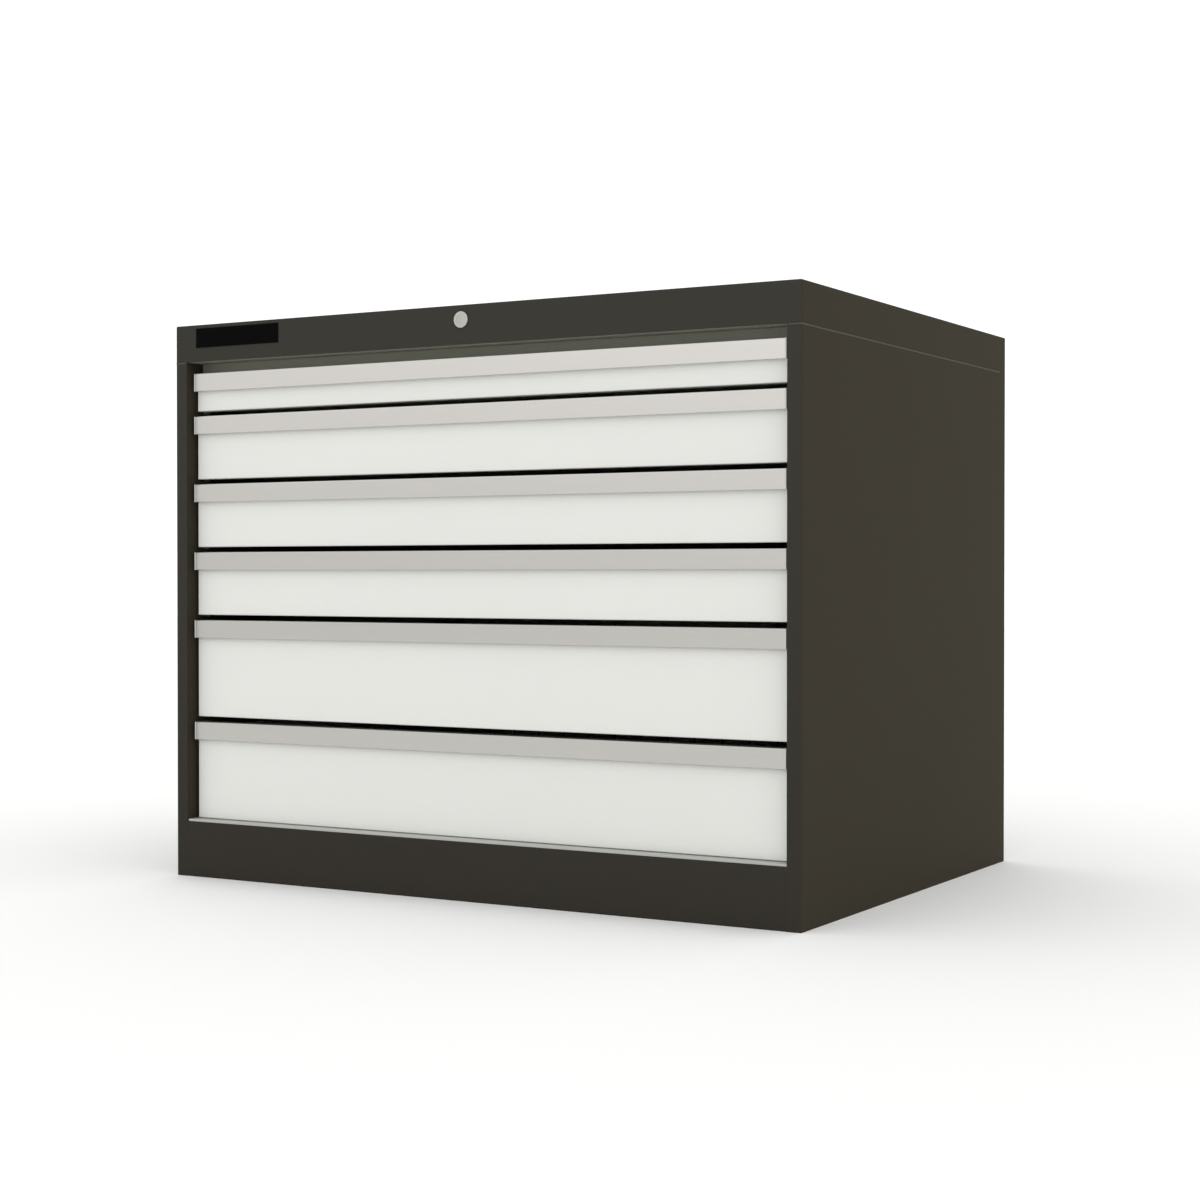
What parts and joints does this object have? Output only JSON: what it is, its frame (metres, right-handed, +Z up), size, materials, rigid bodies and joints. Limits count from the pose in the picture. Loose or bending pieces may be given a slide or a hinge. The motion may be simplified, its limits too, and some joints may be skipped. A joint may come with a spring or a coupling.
{
  "type": "heavy-duty drawer cabinet",
  "caption": "Wide steel workshop cabinet with full-extension drawers, full-width pull handles and a central lock in the top fascia.",
  "frame": {"origin": "on the floor, in the middle of the footprint", "axes": "+X to the right seen from the front, +Y to the back, +Z up; the drawers open towards -Y"},
  "size_m": [1.01, 0.757, 0.81],
  "materials": {
    "carcass_paint": "dark olive grey powder coat, semi-gloss, fine texture",
    "front_paint": "off-white powder coat, satin",
    "tray_paint": "light grey powder coat, satin",
    "handle_aluminium": "clear anodised extrusion, satin",
    "cap_plastic": "moulded light grey plastic",
    "zinc_steel": "bright zinc plate",
    "lock_metal": "satin nickel plate",
    "sill_plastic": "extruded light grey plastic",
    "plate_plastic": "blank black plate",
    "guide_plastic": "moulded black nylon"
  },
  "bodies": {
    "root": {"side_panel_left": "carcass_paint", "side_panel_right": "carcass_paint", "rear_uprights": "carcass_paint", "back_panel": "carcass_paint", "plinth_front": "carcass_paint", "sill_strip": "sill_plastic", "base_pan": "carcass_paint", "top_cap": "carcass_paint", "top_deck": "carcass_paint", "nameplate": "plate_plastic", "outer_rails_left": "zinc_steel", "outer_rails_right": "zinc_steel", "lock_housing": "lock_metal", "lock_guides": "guide_plastic"},
    "drawer_1": {"drawer_1_front": "front_paint", "drawer_1_handle": "handle_aluminium", "drawer_1_end_caps": "cap_plastic", "drawer_1_tray": "tray_paint", "drawer_1_inner_rails": "zinc_steel"},
    "runner_1": {"drawer_1_middle_rails": "zinc_steel", "drawer_1_ball_strips": "zinc_steel"},
    "drawer_2": {"drawer_2_front": "front_paint", "drawer_2_handle": "handle_aluminium", "drawer_2_end_caps": "cap_plastic", "drawer_2_tray": "tray_paint", "drawer_2_inner_rails": "zinc_steel"},
    "runner_2": {"drawer_2_middle_rails": "zinc_steel", "drawer_2_ball_strips": "zinc_steel"},
    "drawer_3": {"drawer_3_front": "front_paint", "drawer_3_handle": "handle_aluminium", "drawer_3_end_caps": "cap_plastic", "drawer_3_tray": "tray_paint", "drawer_3_inner_rails": "zinc_steel"},
    "runner_3": {"drawer_3_middle_rails": "zinc_steel", "drawer_3_ball_strips": "zinc_steel"},
    "drawer_4": {"drawer_4_front": "front_paint", "drawer_4_handle": "handle_aluminium", "drawer_4_end_caps": "cap_plastic", "drawer_4_tray": "tray_paint", "drawer_4_inner_rails": "zinc_steel"},
    "runner_4": {"drawer_4_middle_rails": "zinc_steel", "drawer_4_ball_strips": "zinc_steel"},
    "drawer_5": {"drawer_5_front": "front_paint", "drawer_5_handle": "handle_aluminium", "drawer_5_end_caps": "cap_plastic", "drawer_5_tray": "tray_paint", "drawer_5_inner_rails": "zinc_steel"},
    "runner_5": {"drawer_5_middle_rails": "zinc_steel", "drawer_5_ball_strips": "zinc_steel"},
    "drawer_6": {"drawer_6_front": "front_paint", "drawer_6_handle": "handle_aluminium", "drawer_6_end_caps": "cap_plastic", "drawer_6_tray": "tray_paint", "drawer_6_inner_rails": "zinc_steel"},
    "runner_6": {"drawer_6_middle_rails": "zinc_steel", "drawer_6_ball_strips": "zinc_steel"},
    "lock_plug": {"lock_plug": "lock_metal", "lock_cam": "zinc_steel"},
    "lock_slider": {"lock_slider": "zinc_steel"},
    "lock_bar": {"lock_bar": "zinc_steel"}
  },
  "joints": [
    {"name": "drawer_1_slide", "type": "slide", "parent": "root", "child": "drawer_1", "axis": [0, -1, 0], "range_m": [0, 0.65]},
    {"name": "runner_1_slide", "type": "slide", "parent": "root", "child": "runner_1", "axis": [0, -1, 0], "range_m": [0, 0.325]},
    {"name": "drawer_2_slide", "type": "slide", "parent": "root", "child": "drawer_2", "axis": [0, -1, 0], "range_m": [0, 0.65]},
    {"name": "runner_2_slide", "type": "slide", "parent": "root", "child": "runner_2", "axis": [0, -1, 0], "range_m": [0, 0.325]},
    {"name": "drawer_3_slide", "type": "slide", "parent": "root", "child": "drawer_3", "axis": [0, -1, 0], "range_m": [0, 0.65]},
    {"name": "runner_3_slide", "type": "slide", "parent": "root", "child": "runner_3", "axis": [0, -1, 0], "range_m": [0, 0.325]},
    {"name": "drawer_4_slide", "type": "slide", "parent": "root", "child": "drawer_4", "axis": [0, -1, 0], "range_m": [0, 0.65]},
    {"name": "runner_4_slide", "type": "slide", "parent": "root", "child": "runner_4", "axis": [0, -1, 0], "range_m": [0, 0.325]},
    {"name": "drawer_5_slide", "type": "slide", "parent": "root", "child": "drawer_5", "axis": [0, -1, 0], "range_m": [0, 0.65]},
    {"name": "runner_5_slide", "type": "slide", "parent": "root", "child": "runner_5", "axis": [0, -1, 0], "range_m": [0, 0.325]},
    {"name": "drawer_6_slide", "type": "slide", "parent": "root", "child": "drawer_6", "axis": [0, -1, 0], "range_m": [0, 0.65]},
    {"name": "runner_6_slide", "type": "slide", "parent": "root", "child": "runner_6", "axis": [0, -1, 0], "range_m": [0, 0.325]},
    {"name": "lock_slider_slide", "type": "slide", "parent": "root", "child": "lock_slider", "axis": [-1, 0, 0], "range_m": [0, 0.01697]},
    {"name": "lock_turn", "type": "hinge", "parent": "root", "child": "lock_plug", "pos_m": [0, -0.3775, 0.7898], "axis": [0, 1, 0], "range_deg": [0, 90]},
    {"name": "lock_bar_lift", "type": "slide", "parent": "root", "child": "lock_bar", "axis": [0, 0, 1], "range_m": [0, 0.00801]}
  ],
  "couplings": [
    {"joint": "runner_1_slide", "follows": "drawer_1_slide", "ratio": 0.5},
    {"joint": "runner_2_slide", "follows": "drawer_2_slide", "ratio": 0.5},
    {"joint": "runner_3_slide", "follows": "drawer_3_slide", "ratio": 0.5},
    {"joint": "runner_4_slide", "follows": "drawer_4_slide", "ratio": 0.5},
    {"joint": "runner_5_slide", "follows": "drawer_5_slide", "ratio": 0.5},
    {"joint": "runner_6_slide", "follows": "drawer_6_slide", "ratio": 0.5},
    {"joint": "lock_turn", "follows": "lock_slider_slide", "rad_per_m": 92.56},
    {"joint": "lock_bar_lift", "follows": "lock_slider_slide", "ratio": 0.47141}
  ]
}
